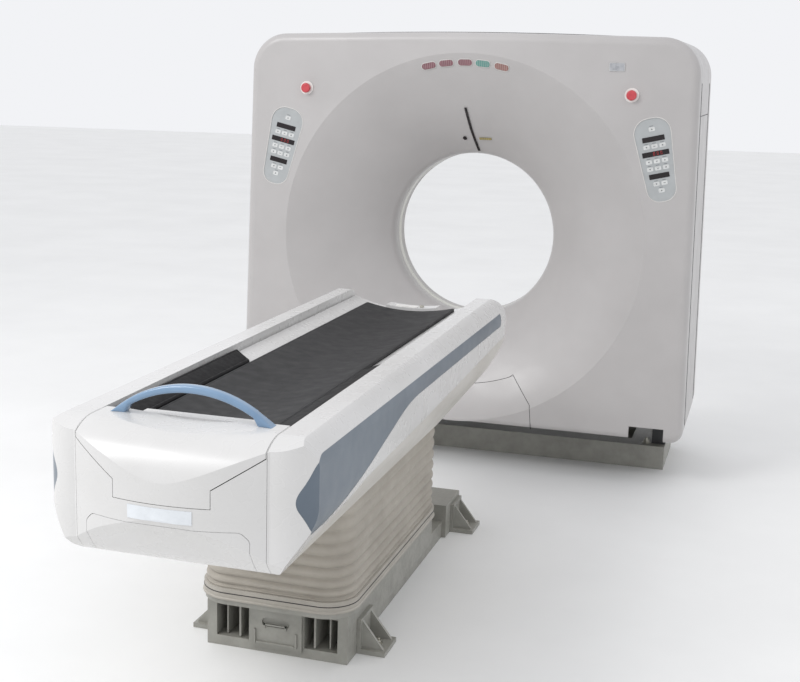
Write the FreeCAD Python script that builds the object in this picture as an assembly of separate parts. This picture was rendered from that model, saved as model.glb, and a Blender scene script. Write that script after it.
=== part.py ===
"""Medical CT scanner: tilting gantry with a flared patient bore, and a lifting patient table with a sliding cradle.

Millimetres. +Z is up, +Y runs along the patient axis from the foot of the table into the gantry, +X goes across.
Everything is drawn about the scan plane (Y = 0) with the floor at Z = 0, then moved so that the middle of the
footprint is at the origin.
"""
import math
import os

import FreeCAD
import Part

os.makedirs("parts", exist_ok=True)

# ---------------------------------------------------------------- driving sizes
ISO_Z = 965.0            # height of the bore axis over the floor
BORE_R = 350.0           # patient bore
FLARE_R = 765.0          # front flare where it meets the front face
REAR_FLARE_R = 600.0
FRONT_Y = -361.0         # front face of the gantry
REAR_Y = 385.0           # rear face of the gantry
LIP_Y = 80.0             # half length of the cylindrical part of the bore
GANTRY_HALF_W = 947.0    # half width at the height of the bore axis
SIDE_TAPER = 0.024       # the sides widen by this much per unit of height going down
GANTRY_TOP_Z = 1815.0
COVER_BOTTOM_Z = 185.0
REAR_BOTTOM_Z = 200.0
CORNER_R = 150.0         # upper corners of the covers
EDGE_R = 34.0            # rounding of the front and rear edges
TILT_DEG = 20.0

TABLE_HEAD_Y = -975.0    # head end of the table
TABLE_FOOT_Y = -3165.0   # foot end of the table
TABLE_HALF_W = 340.0
TABLE_TOP_Z = 845.0      # top of the side rails
HULL_BOTTOM_Z = 505.0
CRADLE_HALF_W = 234.0
MAT_HALF_W = 168.0
MAT_LOW_Z = 786.0        # lowest line of the mattress surface
CRADLE_R = 650.0         # radius of the curved mattress surface
MAT_T = 12.0
CRADLE_T = 20.0
CRADLE_TRAVEL = 1450.0
LIFT_DOWN = 200.0
LIFT_UP = 100.0

ROTOR_R = 780.0
PULLEY_R = 60.0

# ---------------------------------------------------------------- walls and clearances
WALL = 6.0               # moulded covers
SEAM = 0.3               # between neighbouring pieces
SHADOW_GAP = 0.9         # seams that are meant to be seen
RUN = 0.05               # radial clearance of a running fit

V = FreeCAD.Vector
NODES = {}


# ---------------------------------------------------------------- drawing helpers
def in_xz(u, v):
    return V(u, 0, v)


def in_yz(u, v):
    return V(0, u, v)


def in_xy(u, v):
    return V(u, v, 0)


def outline(corners, plane):
    """Closed face through (u, v, radius) corners, each rounded by its radius."""
    n = len(corners)
    starts, ends, mids = [], [], []
    for i, (u, v, r) in enumerate(corners):
        a, b = corners[i - 1], corners[(i + 1) % n]
        ax, ay, bx, by = a[0] - u, a[1] - v, b[0] - u, b[1] - v
        la, lb = math.hypot(ax, ay), math.hypot(bx, by)
        ax, ay, bx, by = ax / la, ay / la, bx / lb, by / lb
        if r <= 0:
            starts.append((u, v)), ends.append((u, v)), mids.append(None)
            continue
        half = math.acos(max(-1.0, min(1.0, ax * bx + ay * by))) / 2
        d = r / math.tan(half)
        mx, my = ax + bx, ay + by
        m = math.hypot(mx, my)
        reach = r / math.sin(half) - r
        starts.append((u + ax * d, v + ay * d))
        ends.append((u + bx * d, v + by * d))
        mids.append((u + mx / m * reach, v + my / m * reach))
    edges = []
    for i in range(n):
        if mids[i]:
            edges.append(Part.Arc(plane(*starts[i]), plane(*mids[i]), plane(*ends[i])).toShape())
        p, q = plane(*ends[i]), plane(*starts[(i + 1) % n])
        if p.distanceToPoint(q) > 1e-6:
            edges.append(Part.makeLine(p, q))
    return Part.Face(Part.Wire(edges))


def along_y(corners, y0, y1):
    face = outline([(c + (0,))[:3] for c in corners], in_xz)
    face.translate(V(0, y0, 0))
    return face.extrude(V(0, y1 - y0, 0))


def along_x(corners, x0, x1):
    face = outline([(c + (0,))[:3] for c in corners], in_yz)
    face.translate(V(x0, 0, 0))
    return face.extrude(V(x1 - x0, 0, 0))


def along_z(corners, z0, z1):
    face = outline([(c + (0,))[:3] for c in corners], in_xy)
    face.translate(V(0, 0, z0))
    return face.extrude(V(0, 0, z1 - z0))


def box(x0, x1, y0, y1, z0, z1):
    return Part.makeBox(x1 - x0, y1 - y0, z1 - z0, V(x0, y0, z0))


def rod_y(x, z, r, y0, y1):
    return Part.makeCylinder(r, y1 - y0, V(x, y0, z), V(0, 1, 0))


def rod_x(y, z, r, x0, x1):
    return Part.makeCylinder(r, x1 - x0, V(x0, y, z), V(1, 0, 0))


def rod_z(x, y, r, z0, z1):
    return Part.makeCylinder(r, z1 - z0, V(x, y, z0), V(0, 0, 1))


def ring_y(r_in, r_out, y0, y1):
    """Ring about the bore axis."""
    return rod_y(0, ISO_Z, r_out, y0, y1).cut(rod_y(0, ISO_Z, r_in, y0 - 1, y1 + 1))


def fuse(shapes):
    return shapes[0].multiFuse(shapes[1:]).removeSplitter() if len(shapes) > 1 else shapes[0]


def mirrored(shape):
    return shape.mirror(V(0, 0, 0), V(1, 0, 0))


def edges_at(shape, axis, value, tol=0.01):
    """Edges that lie wholly in one plane."""
    found = []
    for e in shape.Edges:
        b = e.BoundBox
        lo, hi = {"x": (b.XMin, b.XMax), "y": (b.YMin, b.YMax), "z": (b.ZMin, b.ZMax)}[axis]
        if abs(lo - value) < tol and abs(hi - value) < tol:
            found.append(e)
    return found


def pair(name, shape):
    """The same piece on both sides; shape is the one at +X."""
    NODES[name + "_right"] = shape
    NODES[name + "_left"] = mirrored(shape)


# ---------------------------------------------------------------- gantry covers
def half_width(z):
    return GANTRY_HALF_W + SIDE_TAPER * (ISO_Z - z)


def gantry_block(inset, y0, y1, edge_y=None, bottom=COVER_BOTTOM_Z):
    """Tapered gantry outline, drawn in by inset, with one rounded edge if edge_y is given."""
    top = GANTRY_TOP_Z - 17 - inset
    low = bottom + inset
    wt, wb = half_width(top) - inset, half_width(low) - inset
    face = outline([(-wb, low, 50 - inset), (wb, low, 50 - inset), (wt, top, CORNER_R - inset),
                    (0, GANTRY_TOP_Z - inset, 18000), (-wt, top, CORNER_R - inset)], in_xz)
    face.translate(V(0, y0, 0))
    block = face.extrude(V(0, y1 - y0, 0))
    if edge_y is not None:
        block = block.makeFillet(EDGE_R - inset, edges_at(block, "y", edge_y))
    return block


def flare_space(grow, side, mouth_r, face_y):
    """Space in front of a flare: a bell from the mouth to the bore, about the bore axis.

    side is -1 for the front and +1 for the rear; grow moves the surface outward.
    """
    lip = side * LIP_Y
    depth = abs(face_y - lip)
    run = mouth_r - BORE_R
    # bell: shallow at the mouth, steeper at the bore, then a small rounded lip
    lip_r = 30.0
    mid = (BORE_R + 0.47 * run, lip + side * 0.60 * depth)
    near = (BORE_R + lip_r * 0.62, lip + side * lip_r * 0.62)
    p_mouth = (mouth_r, face_y)
    bend = Part.Arc(V(BORE_R, lip - side * lip_r, 0), V(BORE_R + lip_r * 0.17, lip, 0), V(near[0], near[1], 0))
    bell = Part.Arc(V(near[0], near[1], 0), V(mid[0], mid[1], 0), V(p_mouth[0], p_mouth[1], 0))
    pts = [V(BORE_R, lip - side * lip_r, 0), V(BORE_R, 0, 0), V(0, 0, 0), V(0, face_y + side * 60, 0),
           V(mouth_r, face_y + side * 60, 0), V(mouth_r, face_y, 0)]
    wire = Part.Wire([bell.toShape()] + [Part.makeLine(pts[i], pts[i - 1]) for i in range(len(pts) - 1, 0, -1)]
                     + [bend.toShape()])
    face = Part.Face(wire)
    if grow:
        face = face.makeOffset2D(grow)
        face = face.common(Part.makePlane(4000, 4000, V(0, -2000, 0)))
    solid = face.revolve(V(0, 0, 0), V(0, 1, 0), 360)
    solid = solid if solid.Volume > 0 else solid.reversed()
    solid.translate(V(0, 0, ISO_Z))
    return Part.Solid(solid.Shells[0]) if solid.ShapeType != "Solid" and solid.Shells else solid


PANEL_TOP_R = 620.0
SHELL_SPLIT_Y = 250.0
LINER_Y = 60.0
SKIRT_X = GANTRY_HALF_W - 57   # the covers are open below between these
NOTCH_X = GANTRY_HALF_W - 197
BEYOND_X = GANTRY_HALF_W + 53  # clear of the sides


def cover(side, mouth_r, face_y, bottom):
    y_in = side * SHELL_SPLIT_Y
    ys = sorted((face_y, y_in))
    ys_in = sorted((face_y - side * WALL, y_in - side * 2))
    outer = gantry_block(0, ys[0], ys[1], face_y, bottom)
    inner = gantry_block(WALL, ys_in[0], ys_in[1], face_y - side * WALL, bottom)
    shell = outer.cut(inner)
    grown = flare_space(WALL, side, mouth_r, face_y)
    space = flare_space(0, side, mouth_r, face_y)
    lo, hi = sorted((face_y, side * LINER_Y))
    reach = mouth_r + 135
    bell = grown.cut(space).common(box(-reach, reach, lo, hi, ISO_Z - reach, ISO_Z + reach))
    shell = shell.cut(grown).fuse(bell)
    # open underside, so that the covers can swing over the base
    lo, hi = sorted((face_y - side * (WALL + 3), side * 100))
    return shell.cut(box(-SKIRT_X, SKIRT_X, lo, hi, bottom - 20, bottom + 30)).removeSplitter()


front = cover(-1, FLARE_R, FRONT_Y, COVER_BOTTOM_Z)
rear = cover(1, REAR_FLARE_R, REAR_Y, REAR_BOTTOM_Z)
NODES["rear_cover"] = rear

# notches over the stanchion feet
for s in (-1, 1):
    lo, hi = sorted((s * NOTCH_X, s * SKIRT_X))
    front = front.cut(box(lo, hi, FRONT_Y - 5, FRONT_Y + 60, COVER_BOTTOM_Z - 20, COVER_BOTTOM_Z + 60))

# removable panel below the bore
panel_side = [(248, 402), (336, 292), (346, COVER_BOTTOM_Z - 10)]


def panel_prism(grow):
    r = PANEL_TOP_R - grow
    a = math.atan2(panel_side[0][0] + grow, ISO_Z - panel_side[0][1])
    p = [V(r * math.sin(t * a), 0, ISO_Z - r * math.cos(t * a)) for t in (-1, 0, 1)]
    right = [V(x + grow, 0, z) for x, z in panel_side[1:]]
    left = [V(-x - grow, 0, z) for x, z in reversed(panel_side[1:])]
    loop = [p[2]] + right + left + [p[0]]
    wire = Part.Wire([Part.Arc(*p).toShape()] + [Part.makeLine(loop[i], loop[i + 1]) for i in range(len(loop) - 1)])
    face = Part.Face(wire)
    face.translate(V(0, FRONT_Y - 5, 0))
    return face.extrude(V(0, 240, 0))


NODES["front_access_panel"] = front.common(panel_prism(0)).common(box(-400, 400, FRONT_Y, -150, 150, 500))
front = front.cut(panel_prism(SHADOW_GAP))

# middle shell between the front and rear covers
ring = gantry_block(0, -SHELL_SPLIT_Y + SEAM, SHELL_SPLIT_Y - SEAM).cut(
    gantry_block(WALL, -SHELL_SPLIT_Y - 5, SHELL_SPLIT_Y + 5))
ring = ring.cut(box(-SKIRT_X - 15, SKIRT_X + 15, -400, 400, COVER_BOTTOM_Z - 20, COVER_BOTTOM_Z + 60))
SPLIT_Z = 1500.0
NODES["top_cover"] = ring.common(box(-BEYOND_X, BEYOND_X, -400, 400, SPLIT_Z, 2000))
pair("side_cover", ring.common(box(0, BEYOND_X, -400, 400, 0, SPLIT_Z - SEAM)))

# bore liner with the scan window let into it
window = ring_y(BORE_R, BORE_R + 2.5, -20, 20)
NODES["scan_window"] = window
NODES["bore_liner"] = ring_y(BORE_R, BORE_R + WALL, -LINER_Y + SEAM, LINER_Y - SEAM).cut(
    ring_y(BORE_R - 1, BORE_R + 2.5 + SEAM, -20 - SEAM, 20 + SEAM))

# ---------------------------------------------------------------- gantry controls and lamps
POD_X, POD_Z = 788.0, 1330.0
POD_LEAN = 13.0          # the upper ends lean towards the bore
POD_DEPTH = 4.0
POD_FLOOR_Y = FRONT_Y + POD_DEPTH


def pod_tool(corners, y0, y1, sx):
    """Prism in the pod's own slanted frame, centred on the pod."""
    t = along_y(corners, y0, y1)
    t.rotate(V(0, 0, 0), V(0, 1, 0), -POD_LEAN)
    t.translate(V(POD_X, 0, POD_Z))
    return t if sx > 0 else mirrored(t)


def egg(grow):
    return [(-54 - grow, -165 - grow, 50), (54 + grow, -165 - grow, 50), (76 + grow, 165 + grow, 60),
            (-76 - grow, 165 + grow, 60)]


def rect(cu, cv, w, h, r=0.0):
    return [(cu - w / 2, cv - h / 2, r), (cu + w / 2, cv - h / 2, r), (cu + w / 2, cv + h / 2, r),
            (cu - w / 2, cv + h / 2, r)]


DISPLAYS = [(0, 84, 86, 20), (0, 26, 104, 20), (0, -62, 78, 20)]
KEY_ROWS = [(122, 1), (55, 3), (-4, 3), (-32, 3), (-92, 2), (-120, 1)]
KEY_W, KEY_H, KEY_PITCH = 24.0, 16.0, 31.0
displays, keys = [], []
for s in (-1, 1):
    tag = "_right" if s > 0 else "_left"
    front = front.cut(pod_tool(egg(0), FRONT_Y - 1, POD_FLOOR_Y, s))
    NODES["control_panel" + tag] = pod_tool(egg(-SEAM * 4), POD_FLOOR_Y - 2.5, POD_FLOOR_Y - SEAM, s)
    displays += [pod_tool(rect(*d, 2), POD_FLOOR_Y - 3.6, POD_FLOOR_Y - 2.5, s) for d in DISPLAYS]
    for v, count in KEY_ROWS:
        for i in range(count):
            u = (i - (count - 1) / 2) * KEY_PITCH
            keys.append(pod_tool(rect(u, v, KEY_W, KEY_H, 4), POD_FLOOR_Y - 3.7, POD_FLOOR_Y - 2.5, s))
NODES["panel_displays"] = Part.makeCompound(displays)
NODES["panel_keys"] = Part.makeCompound(keys)

# stop buttons: a collar on the face and a sprung mushroom button through it
STOP_X, STOP_Z = 676.0, 1577.0
STOP_STEM_R, STOP_HEAD_R, STOP_TRAVEL = 12.0, 20.0, 6.0
COLLAR_T = 4.0
head_y = FRONT_Y - SEAM - COLLAR_T - STOP_TRAVEL - 0.7
for s in (-1, 1):
    front = front.cut(rod_y(s * STOP_X, STOP_Z, STOP_STEM_R + 1, FRONT_Y - 5, FRONT_Y + 12))
collar = rod_y(STOP_X, STOP_Z, 28, FRONT_Y - SEAM - COLLAR_T, FRONT_Y - SEAM).cut(
    rod_y(STOP_X, STOP_Z, STOP_STEM_R + RUN, FRONT_Y - 30, FRONT_Y))
NODES["stop_collars"] = Part.makeCompound([collar, mirrored(collar)])
stop_head = rod_y(STOP_X, STOP_Z, STOP_HEAD_R, head_y - 12, head_y)
stop_head = stop_head.makeFillet(5, edges_at(stop_head, "y", head_y - 12))
pair("stop_button", stop_head.fuse(rod_y(STOP_X, STOP_Z, STOP_STEM_R, head_y, FRONT_Y + 10)).removeSplitter())

# raised trim that follows the flare surface
skin = flare_space(-SEAM, -1, FLARE_R, FRONT_Y).cut(flare_space(-SEAM - 3.0, -1, FLARE_R, FRONT_Y))


def flare_trim(shape):
    return skin.common(shape)


LAMP_R = 727.0
LAMP_ANGLES = {"lamp_standby": (-12.0, -6.2, 0.0), "lamp_ready": (5.8,), "lamp_exposure": (12.0,)}
for name, angles in LAMP_ANGLES.items():
    lamps = []
    for a in angles:
        t = along_y(rect(0, LAMP_R, 58, 24, 11.9), FRONT_Y + 1, -150)
        t.rotate(V(0, 0, 0), V(0, 1, 0), a)
        t.translate(V(0, 0, ISO_Z))
        lamps.append(flare_trim(t))
    NODES[name] = fuse(lamps)
SLOT = [(13, 361), (23, 361), (4, 455), (-9, 545), (-19, 545), (-6, 455)]
lens = along_y(SLOT, -340, -60)
lens.translate(V(0, 0, ISO_Z))
NODES["laser_windows"] = Part.makeCompound([flare_trim(lens), flare_trim(rod_y(-34, ISO_Z + 415, 8, -340, -60))])
lens = along_y(rect(55, 415, 54, 9, 3), -340, -60)
lens.translate(V(0, 0, ISO_Z))
NODES["amber_lens"] = flare_trim(lens)
NODES["badge_plate"] = along_y(rect(612, 1684, 62, 34, 5), FRONT_Y - 2.3, FRONT_Y - SEAM)
NODES["front_cover"] = front

# ---------------------------------------------------------------- gantry support
BASE_H = 100.0
BASE_HALF_W = GANTRY_HALF_W - 79
BASE_Y0, BASE_Y1 = -96.0, 300.0
ANCHOR_X, ANCHOR_Y = GANTRY_HALF_W - 147, (-46.0, 250.0)
ANCHOR_R = 9.0
STAN_X0, STAN_X1, STAN_HALF_Y = GANTRY_HALF_W - 125, GANTRY_HALF_W - 67, 50.0
SIDE_BEAM_X = GANTRY_HALF_W - 215
TRUNNION_R = 45.0

beams = [box(-BASE_HALF_W, BASE_HALF_W, BASE_Y0, BASE_Y0 + 100, 0, BASE_H),
         box(-BASE_HALF_W, BASE_HALF_W, BASE_Y1 - 100, BASE_Y1, 0, BASE_H),
         box(-STAN_X1, -SIDE_BEAM_X, BASE_Y0, BASE_Y1, 0, BASE_H), box(SIDE_BEAM_X, STAN_X1, BASE_Y0, BASE_Y1, 0, BASE_H)]
frame = fuse(beams)
for x in (-ANCHOR_X, ANCHOR_X):
    for y in ANCHOR_Y:
        frame = frame.cut(rod_z(x, y, ANCHOR_R, -1, BASE_H + 1))
NODES["gantry_base_frame"] = frame
stanchion = along_x([(-STAN_HALF_Y, BASE_H + SEAM), (STAN_HALF_Y, BASE_H + SEAM),
                     (STAN_HALF_Y, ISO_Z + 90, 45), (-STAN_HALF_Y, ISO_Z + 90, 45)], STAN_X0, STAN_X1)
stanchion = stanchion.fuse(rod_x(0, ISO_Z, 80, STAN_X0, STAN_X1)).removeSplitter()
stanchion = stanchion.cut(rod_x(0, ISO_Z, TRUNNION_R + RUN, STAN_X0 - 1, STAN_X1 + 1))
pair("stanchion", stanchion)

# tilting frame: a big ring behind the rotor, side arms, trunnions, and lugs that carry the covers
FRAME_Y0, FRAME_Y1 = 185.0, 245.0
FRAME_R_IN, FRAME_R_OUT = 710.0, 800.0
pieces = [ring_y(FRAME_R_IN, FRAME_R_OUT, FRAME_Y0, FRAME_Y1)]
inside = gantry_block(WALL + SEAM, -300, 300)
for s in (-1, 1):
    lo, hi = sorted((s * (STAN_X0 - 30), s * (STAN_X0 - 7)))
    pieces.append(box(lo, hi, -90, FRAME_Y1, ISO_Z - 150, ISO_Z + 150))
    lo, hi = sorted((s * 760, s * (STAN_X0 - 22)))
    pieces.append(box(lo, hi, FRAME_Y0, FRAME_Y1, ISO_Z - 150, ISO_Z + 150))
    lo, hi = sorted((s * (STAN_X0 - 7), s * (STAN_X1 + 6)))
    pieces.append(rod_x(0, ISO_Z, TRUNNION_R, lo, hi))
    for z in (ISO_Z - 310, ISO_Z + 310):
        lo, hi = sorted((s * 640, s * BEYOND_X))
        pieces.append(box(lo, hi, FRAME_Y0 + 5, FRAME_Y1, z - 30, z + 30).common(inside))
    lo, hi = sorted((s * 200, s * 300))
    pieces.append(box(lo, hi, FRAME_Y0 + 5, FRAME_Y1, ISO_Z + 720, 1900).common(inside))
pieces.append(ring_y(685, FRAME_R_IN, FRAME_Y0 + 5, FRAME_Y1 - 5))
NODES["tilt_frame"] = fuse(pieces)

# ---------------------------------------------------------------- rotor
PLATE_Y0, PLATE_Y1 = 70.0, 105.0
NODES["rotor_ring"] = fuse([ring_y(BORE_R + 50, ROTOR_R, PLATE_Y0, PLATE_Y1), ring_y(636, 660, PLATE_Y1, FRAME_Y1),
                            ring_y(660, 685 - RUN, FRAME_Y0 + 5, FRAME_Y1 - 5)])
NODES["slip_ring"] = ring_y(560, 636 - SEAM, PLATE_Y1 + SEAM, 170)
tube = rod_x(-2, ISO_Z + 600, 70, -150, 150)
tube = fuse([tube, box(-40, 40, -50, PLATE_Y0 - SEAM, ISO_Z + 560, ISO_Z + 690)])
NODES["xray_tube"] = tube
NODES["collimator"] = box(-65, 65, -45, PLATE_Y0 - SEAM, ISO_Z + BORE_R + 80, ISO_Z + 525)
SPOT_R = 600.0
DET_R = SPOT_R + BORE_R + 50
SPOT_Z = ISO_Z + SPOT_R
arc = rod_y(0, SPOT_Z, DET_R + 60, -50, PLATE_Y0 - SEAM).cut(rod_y(0, SPOT_Z, DET_R, -60, PLATE_Y0 + 10))
fan = math.radians(25)
wedge = along_y([(0, SPOT_Z), (1600 * math.sin(fan), SPOT_Z - 1600 * math.cos(fan)),
                 (-1600 * math.sin(fan), SPOT_Z - 1600 * math.cos(fan))], -70, 80)
NODES["detector_arc"] = arc.common(wedge)
power_box = box(440, 600, -60, PLATE_Y0 - SEAM, ISO_Z + 20, ISO_Z + 320)
NODES["rotor_power_boxes"] = Part.makeCompound([power_box, mirrored(power_box)])

# belt drive in the lower right corner
PUL_X, PUL_Z = 640.0, ISO_Z - 640.0
pulley = fuse([rod_y(PUL_X, PUL_Z, PULLEY_R, PLATE_Y0 + 2, PLATE_Y1 - 2), rod_y(PUL_X, PUL_Z, 15, PLATE_Y1 - 2, 150)])
NODES["motor_pulley"] = pulley
motor = rod_y(PUL_X, PUL_Z, 75, PLATE_Y1 + 12, FRAME_Y1 + SEAM)
motor = motor.fuse(along_y([(470, ISO_Z - 560), (560, ISO_Z - 470), (730, ISO_Z - 620), (620, ISO_Z - 730)],
                           FRAME_Y1 + SEAM, FRAME_Y1 + 14))
NODES["drive_motor"] = motor.cut(rod_y(PUL_X, PUL_Z, 15 + RUN, PLATE_Y1, 160)).removeSplitter()


def belt_face(big, small):
    """Outline of two discs with their outer tangents."""
    dx, dz = PUL_X, PUL_Z - ISO_Z
    dist = math.hypot(dx, dz)
    base = math.atan2(dz, dx)
    off = math.acos((big - small) / dist)

    def on(cx, cz, r, a):
        return V(cx + r * math.cos(a), 0, cz + r * math.sin(a))

    a1, a2 = base + off, base - off
    arc_big = Part.Arc(on(0, ISO_Z, big, a1), on(0, ISO_Z, big, base + math.pi), on(0, ISO_Z, big, a2)).toShape()
    arc_small = Part.Arc(on(PUL_X, PUL_Z, small, a2), on(PUL_X, PUL_Z, small, base), on(PUL_X, PUL_Z, small, a1)).toShape()
    return Part.Face(Part.Wire([arc_big, Part.makeLine(on(0, ISO_Z, big, a2), on(PUL_X, PUL_Z, small, a2)), arc_small,
                                Part.makeLine(on(PUL_X, PUL_Z, small, a1), on(0, ISO_Z, big, a1))]))


belt = belt_face(ROTOR_R + 4, PULLEY_R + 4).extrude(V(0, 25, 0)).cut(
    belt_face(ROTOR_R + RUN, PULLEY_R + RUN).extrude(V(0, 25, 0)))
belt.translate(V(0, PLATE_Y0 + 5, 0))
NODES["drive_belt"] = belt

# ---------------------------------------------------------------- table body
FOOT_SAG = 60.0          # the foot end bows out in plan
HEAD_R = 70.0
CHANNEL_HALF_W = CRADLE_HALF_W + 4.0
CHANNEL_SLOPE_Z = 798.0
TROUGH_HALF_W, TROUGH_Z = 122.0, 679.0
NOSE_Y = TABLE_FOOT_Y + 207  # head side of the cradle's nose housing
FAR_Y = TABLE_FOOT_Y - 135   # clear of the foot end
NOSE_STEP_Z = 723.0
RAIL_GAP_X = 240.0


def table_block(inset):
    """Boat-shaped table body: side profile, cross-section and plan, all drawn in by inset."""
    i = inset
    top, low, foot, head, w = TABLE_TOP_Z - i, HULL_BOTTOM_Z + i, TABLE_FOOT_Y + i, TABLE_HEAD_Y - i, TABLE_HALF_W - i
    over = 4.0  # each section runs a little past the others, so that only one of them makes each face
    side = along_x([(head, 690 + i, HEAD_R), (head, top, HEAD_R), (foot - over, top - 8, 140), (foot - over, 640, 100),
                    (foot + 95, low, 85), (-1750, low, 300)], -w - 3 * over, w + 3 * over)
    cross = along_y([(-250 + i, low - over, 60 - i), (250 - i, low - over, 60 - i), (w, 640, 120), (w, top + over, 80 - i),
                     (0, top + 2 * over, 0), (-w, top + over, 80 - i), (-w, 640, 120)], foot - 30, head + 30)
    corner, wide = 245.0, w + over
    plan_y = foot + FOOT_SAG
    a = Part.Arc(V(-corner, plan_y, 0), V(0, foot, 0), V(corner, plan_y, 0)).toShape()
    pts = [V(corner, plan_y, 0), V(wide, foot + FOOT_SAG + 130, 0), V(wide, head + 60, 0), V(-wide, head + 60, 0),
           V(-wide, foot + FOOT_SAG + 130, 0), V(-corner, plan_y, 0)]
    bulge = corner + (wide - corner) * 0.72
    arcs = [a, Part.Arc(pts[0], V(bulge, plan_y + 30, 0), pts[1]).toShape(), Part.makeLine(pts[1], pts[2]),
            Part.makeLine(pts[2], pts[3]), Part.makeLine(pts[3], pts[4]),
            Part.Arc(pts[4], V(-bulge, plan_y + 30, 0), pts[5]).toShape()]
    plan = Part.Face(Part.Wire(arcs))
    plan.translate(V(0, 0, 400))
    return side.common(cross).common(plan.extrude(V(0, 0, 500)))


def channel(grow, y0, y1):
    """Space the cradle runs in: wide above, sloping to a trough."""
    w, t, z, s = CHANNEL_HALF_W + grow, TROUGH_HALF_W + grow, TROUGH_Z - grow, CHANNEL_SLOPE_Z - grow
    return along_y([(-t, z), (t, z), (t, NOSE_STEP_Z - grow), (w, s), (w, 1100), (-w, 1100), (-w, s),
                    (-t, NOSE_STEP_Z - grow)], y0, y1)


body = table_block(0)
hollow = table_block(WALL)
lower_edge = [(-900, 702), (-1100, 700), (TABLE_FOOT_Y + 505, 640), (TABLE_FOOT_Y + 205, 575), (TABLE_FOOT_Y + 105, 480),
              (FAR_Y, 480)]
upper_zone = along_x([(y, z) for y, z in lower_edge] + [(FAR_Y, 1000), (-900, 1000)], -400, 400)
lower_zone = along_x([(y, z - SEAM) for y, z in lower_edge] + [(FAR_Y, 400), (-900, 400)], -400, 400)

# side rails: solid mouldings that close the sides above the lower shell
rail = body.common(upper_zone).common(box(RAIL_GAP_X, 400, FAR_Y, -900, 400, 1000))
rail = rail.cut(hollow.common(box(RAIL_GAP_X - 1, RAIL_GAP_X + 62, TABLE_FOOT_Y + 105, -900, 400, 770)))
# teardrop recess for the inlay
inlay_edge = [(-1060, 798, 12), (TABLE_FOOT_Y + 125, 798, 60), (TABLE_FOOT_Y + 70, 700, 60), (TABLE_FOOT_Y + 112, 610, 38),
              (TABLE_FOOT_Y + 225, 608, 100), (TABLE_FOOT_Y + 885, 752, 900), (-1060, 752, 12)]
tear = along_x(inlay_edge, 200, 400)
deep = table_block(4.0)
rail_skin_zone = rail.cut(deep)
rail = rail.cut(tear.cut(deep))
pair("side_rail", rail)
inlay = tear.common(table_block(1.0).cut(table_block(4.0 - SEAM))).common(box(250, 400, FAR_Y, -900, 500, 900))
pair("side_inlay", inlay)

# lower shell, open above and where the bellows joins
BEL_HALF_X, BEL_Y0, BEL_Y1, BEL_R = 228.0, -2465.0, -1465.0, 90.0
hull = body.common(lower_zone).cut(hollow)
hull = hull.cut(channel(2, FAR_Y, -900))
foot_zone = box(-RAIL_GAP_X + SHADOW_GAP, RAIL_GAP_X - SHADOW_GAP, FAR_Y, NOSE_Y, 400, 1000)
hull = hull.cut(box(-RAIL_GAP_X, RAIL_GAP_X, FAR_Y, NOSE_Y, 560, 1000))
hull = hull.cut(box(-RAIL_GAP_X, RAIL_GAP_X, FAR_Y, NOSE_Y - 10, 400, 1000))
hull = hull.cut(box(-200, 200, BEL_Y0 + 40, BEL_Y1 - 40, 400, 560))

# foot cover with the notch for the nose, and a separate lower panel
foot = body.common(foot_zone).cut(table_block(WALL)).fuse(
    body.common(box(-RAIL_GAP_X + SHADOW_GAP, RAIL_GAP_X - SHADOW_GAP, NOSE_Y - 16, NOSE_Y - 10, 500, 760)))
foot = foot.cut(channel(0, FAR_Y, NOSE_Y + 158)).common(box(-400, 400, FAR_Y, NOSE_Y - 10, 400, 1000))
LOW_SEAM_Z = 627.0


def low_panel(grow, y1):
    w, z = 205 + grow, LOW_SEAM_Z + grow
    return along_y([(-w, 400), (-w, z - 20, 20), (-w + 20, z, 20), (w - 20, z, 20), (w, z - 20, 20), (w, 400)],
                   TABLE_FOOT_Y - 100, y1)


NODES["foot_lower_panel"] = foot.common(low_panel(0, NOSE_Y - 40))
NODES["foot_cover"] = foot.cut(low_panel(SHADOW_GAP, NOSE_Y - 40 + SHADOW_GAP))
NODES["foot_plate"] = table_block(-1.5).cut(table_block(-SEAM)).common(
    box(-80, 80, FAR_Y, TABLE_FOOT_Y + 165, 640, 672))

# chassis inside the body: carries the rails, the shell and the cradle
chassis = box(-RAIL_GAP_X + SEAM, RAIL_GAP_X - SEAM, NOSE_Y - 10 + SEAM, TABLE_HEAD_Y - 20, 640, 810)
chassis = chassis.cut(channel(0, FAR_Y, -900)).cut(box(-150, 150, NOSE_Y + 60, TABLE_HEAD_Y - 80, 600, 660))
chassis = chassis.cut(rod_y(0, MAT_LOW_Z + CRADLE_R, CRADLE_R + MAT_T + CRADLE_T + 3 * SEAM, FAR_Y, -900).common(
    box(-CHANNEL_HALF_W, CHANNEL_HALF_W, FAR_Y, -900, 600, 1000)))
chassis = chassis.common(table_block(WALL + SEAM))
wings = box(-300, 300, -2600, -1400, 600, 642)
COL_X, COL_Y, COL_YC = 110.0, 150.0, -1965.0
COLUMN_SEAT_Z = 637.0
NODES["chassis"] = chassis.fuse(wings.common(table_block(WALL + SEAM))).removeSplitter().cut(
    box(-COL_X - 6, COL_X + 6, COL_YC - COL_Y - 6, COL_YC + COL_Y + 6, 590, COLUMN_SEAT_Z))

# ---------------------------------------------------------------- cradle
HEAD_LIP_Y = TABLE_HEAD_Y - 25.0
MAT_HEAD_Y = -1070.0
PAD_HEAD_Y = -2165.0


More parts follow.
